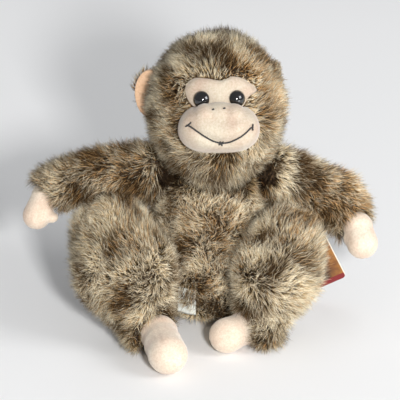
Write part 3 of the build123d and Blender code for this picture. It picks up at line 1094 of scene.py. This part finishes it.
def twisted_plies(path, ply_radius, pitch):
    """Two plies of thread wound round each other along a path."""
    steps = np.linalg.norm(np.diff(path, axis=0), axis=1)
    length = np.concatenate([[0], np.cumsum(steps)])
    even = np.linspace(0, length[-1], max(8, int(length[-1] / THREAD_STEP)))
    line = np.stack([np.interp(even, length, path[:, i]) for i in range(3)], axis=1)
    runs = unit(np.gradient(line, axis=0))
    across = unit(np.cross(runs, AHEAD))
    other = np.cross(runs, across)
    parts = []
    for start in (0, np.pi):
        turn = (start + 2 * np.pi * even / pitch)[:, None]
        wound = line + ply_radius * 0.75 * (across * np.cos(turn) + other * np.sin(turn))
        parts.append(tube_along(wound, ply_radius))
    return parts


def joined_mesh(name, parts):
    start, vertices, faces = 0, [], []
    for points, triangles in parts:
        vertices.append(points)
        faces.append(triangles + start)
        start += len(points)
    return mesh_of(name, np.concatenate(vertices), np.concatenate(faces))


def mouth_stitching(muzzle):
    """Smile of twisted thread with a tick at each corner, a knot in the middle, and nostrils."""
    ground = tree_of(muzzle)
    line = centre_line("mouth_thread", MOUTH_STEPS)
    laid = np.array([lay_on(ground, point, SMILE_LIFT)[0] for point in line])
    parts = twisted_plies(laid, THREAD_PLY, THREAD_PITCH)
    first, last, middle = laid[0], laid[-1], laid[len(laid) // 2]
    stitches = [
        (first, (-2.2, -0.6), (1.4, 2.2)),
        (first, (-1.8, 0.4), (0.9, -0.3)),
        (last, (0.5, 2.2), (0.4, -2.0)),
        (middle, (-1.6, -1.1), (1.5, 1.0)),
        (middle, (-0.9, 1.2), (0.6, -1.6)),
        (middle, (-1.4, 0.2), (1.6, -0.2)),
    ]
    for nostril in NOSTRILS:
        stitches.append((seen_at(BROW_MIDDLE, *nostril), (-0.7, -0.1), (0.7, 0.2)))
    for place, start, end in stitches:
        short = np.linspace(seen_at(place, *start), seen_at(place, *end), 7)
        short = np.array([lay_on(ground, point, STITCH_LIFT)[0] for point in short])
        parts += twisted_plies(short, THREAD_PLY, THREAD_PITCH)
    piece = add_object("mouth_stitching", joined_mesh("mouth_stitching", parts), PAINTS["thread"])
    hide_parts("mouth_thread", "nostril_stitches")
    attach(piece, "head")
    return piece


SEAM_DEPTH, SEAM_WIDTH = 0.3 * MM, 0.8 * MM
# Thumbs, and the full insteps of the feet: centre and half-sizes in millimetres
BULGES = {
    "right_hand": [((-97, -21, 71.5), (4.8, 4.4, 3.4)), ((-100, -17, 72), (5, 5.5, 5))],
    "left_hand": [((87.5, -24, 58.5), (3.8, 4.2, 5))],
    "right_foot": [((-27.4, -78, 12.6), (12, 13.5, 12))],
    "left_foot": [((16, -59.5, 11.4), (10.6, 10, 10.6))],
}


def sew_seam(piece, middle, across):
    """Draws a piece in along the plane through its middle whose normal is across."""
    points, normals = places(piece.data), directions(piece.data)
    near = (points - middle) @ across
    shift = -SEAM_DEPTH * np.exp(-((near / SEAM_WIDTH) ** 2))
    move_to(piece.data, points + normals * shift[:, None])


def mitt_pieces():
    """Hands with a thumb, and feet: full pads with a seam all round."""
    made = {}
    for side in SIDES:
        for end in ("hand", "foot"):
            name = f"{side}_{end}"
            nodes = [f"{name}_shell", f"{name}_stuffing"]
            piece = cloth_around(
                f"{name}_velour", nodes, VELOUR_VOXEL, 5, PAINTS["limb"], swellings=BULGES[name]
            )
            middle = places(piece.data).mean(0)
            if end == "foot":
                run = unit(middle - pivot(f"{side}_ankle"))
                across = unit(np.cross(run, AHEAD))
            else:
                run = unit(middle - pivot(f"{side}_wrist"))
                across = unit(np.cross(run, unit(np.cross(run, [1.0, 0, 0]))))
            sew_seam(piece, middle, across)
            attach(piece, name)
            made[name] = piece
    return made


EAR_HOLLOW = 2.6 * MM


def ear_pieces():
    """Cupped ears, hollow in front."""
    made = {}
    for side in SIDES:
        nodes = [f"{side}_ear_front", f"{side}_ear_back"]
        ear = cloth_around(f"{side}_ear", nodes, EAR_VOXEL, 3, PAINTS["ear"])
        points = places(ear.data)
        look = EAR_LOOKS[side]
        low, high = points.min(0), points.max(0)
        flat = points - (low + high) / 2
        flat -= np.outer(flat @ look, look)
        reach = np.linalg.norm(flat, axis=1).max()
        hollow = 1 - (np.linalg.norm(flat, axis=1) / reach) ** 2
        move_to(ear.data, points - look * (EAR_HOLLOW * hollow)[:, None])
        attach(ear, "head")
        made[f"{side}_ear"] = ear
    return made


def velour_pieces():
    """Every velour piece by its short name."""
    made = {"brow": brow_piece(), "muzzle": muzzle_piece()}
    for piece in made.values():
        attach(piece, "head")
    mouth_stitching(made["muzzle"])
    return {**made, **mitt_pieces(), **ear_pieces()}


# ---------------------------------------------------------------- label, tag and the rest


LABEL_GAP = 0.35 * MM
LABEL_WIDTH, LABEL_CURL, LABEL_WAVE = 12 * MM, 1 * MM, 0.3 * MM


def care_label():
    """A satin strip folded in half, both ends caught in the seat seam."""
    low, high = (np.array(corner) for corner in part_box("care_label"))
    middle = middle_of("care_label")
    out = unit((middle - middle_of("torso_fur_shell")) * np.array([1, 1, 0]))
    along = np.cross(out, UP)
    drop = high[2] - low[2]
    rows, columns = 12, 8
    path = [(LABEL_GAP, -drop * k / rows) for k in range(rows)]
    path += [(0.0, -drop)]
    path += [(-LABEL_GAP, -drop * (rows - 1 - k) / rows) for k in range(rows)]
    vertices = []
    for depth, fall in path:
        curl = LABEL_CURL * (fall / drop) ** 2
        for column in range(columns + 1):
            x = (column / columns - 0.5) * LABEL_WIDTH
            wave = LABEL_WAVE * np.sin(x / MM * 0.7 + fall / MM * 0.25)
            place = middle + out * (depth + curl + wave) + along * x
            vertices.append(place + UP * (high[2] - middle[2] + fall))
    faces = []
    for row in range(len(path) - 1):
        for column in range(columns):
            a = row * (columns + 1) + column
            b = a + columns + 1
            faces += [(a, a + 1, b + 1), (a, b + 1, b)]
    mesh = mesh_of("care_label_cloth", np.array(vertices), np.array(faces))
    label = add_object("care_label_cloth", mesh, PAINTS["label"])
    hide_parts("care_label")
    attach(label, "torso")


def dress_nodes():
    """Materials of the CAD nodes that stay."""
    wear = {
        "bean_pouch": "lining",
        "pellet_fill": "pellets",
        "tag_fastener": "clear",
        "hang_tag": "card",
    }
    for side in SIDES:
        wear[f"{side}_eye"] = "eye"
        wear[f"{side}_eye_washer"] = "washer"
    for node, paint in wear.items():
        mesh = NODES[node].data
        mesh.materials.clear()
        mesh.materials.append(PAINTS[paint])


def add_floor():
    """Pale paper, a little brighter behind the monkey than in front of it, as painted light where
    the lamps reach less.
    """
    corners = [(x * FLOOR_HALF, y * FLOOR_HALF, 0) for x, y in ((-1, -1), (1, -1), (1, 1), (-1, 1))]
    mesh = bpy.data.meshes.new("floor")
    mesh.from_pydata(corners, [], [(0, 1, 2, 3)])
    paint = Paint("floor_paper", Roughness=0.8)
    place = paint.add("TexCoord").outputs["Object"]
    depth = paint.add("SeparateXYZ", Vector=place).outputs["Y"]
    # painted light: the paper brightens towards the back
    back = paint.span(depth, -0.15, 0.45)
    paint.colour(paint.ramp(back, [(0.0, rgb(236, 236, 236)), (1.0, rgb(254, 254, 254))]))
    add_object("floor", mesh, paint.material)


PAINTS = add_materials()
add_camera()
add_world()
for light in LIGHTS:
    add_light(*light)
bpy.context.scene.view_settings.view_transform = "Standard"
add_floor()
dress_nodes()
velour = velour_pieces()
cover_in_fur(make_cloths(), velour)
care_label()
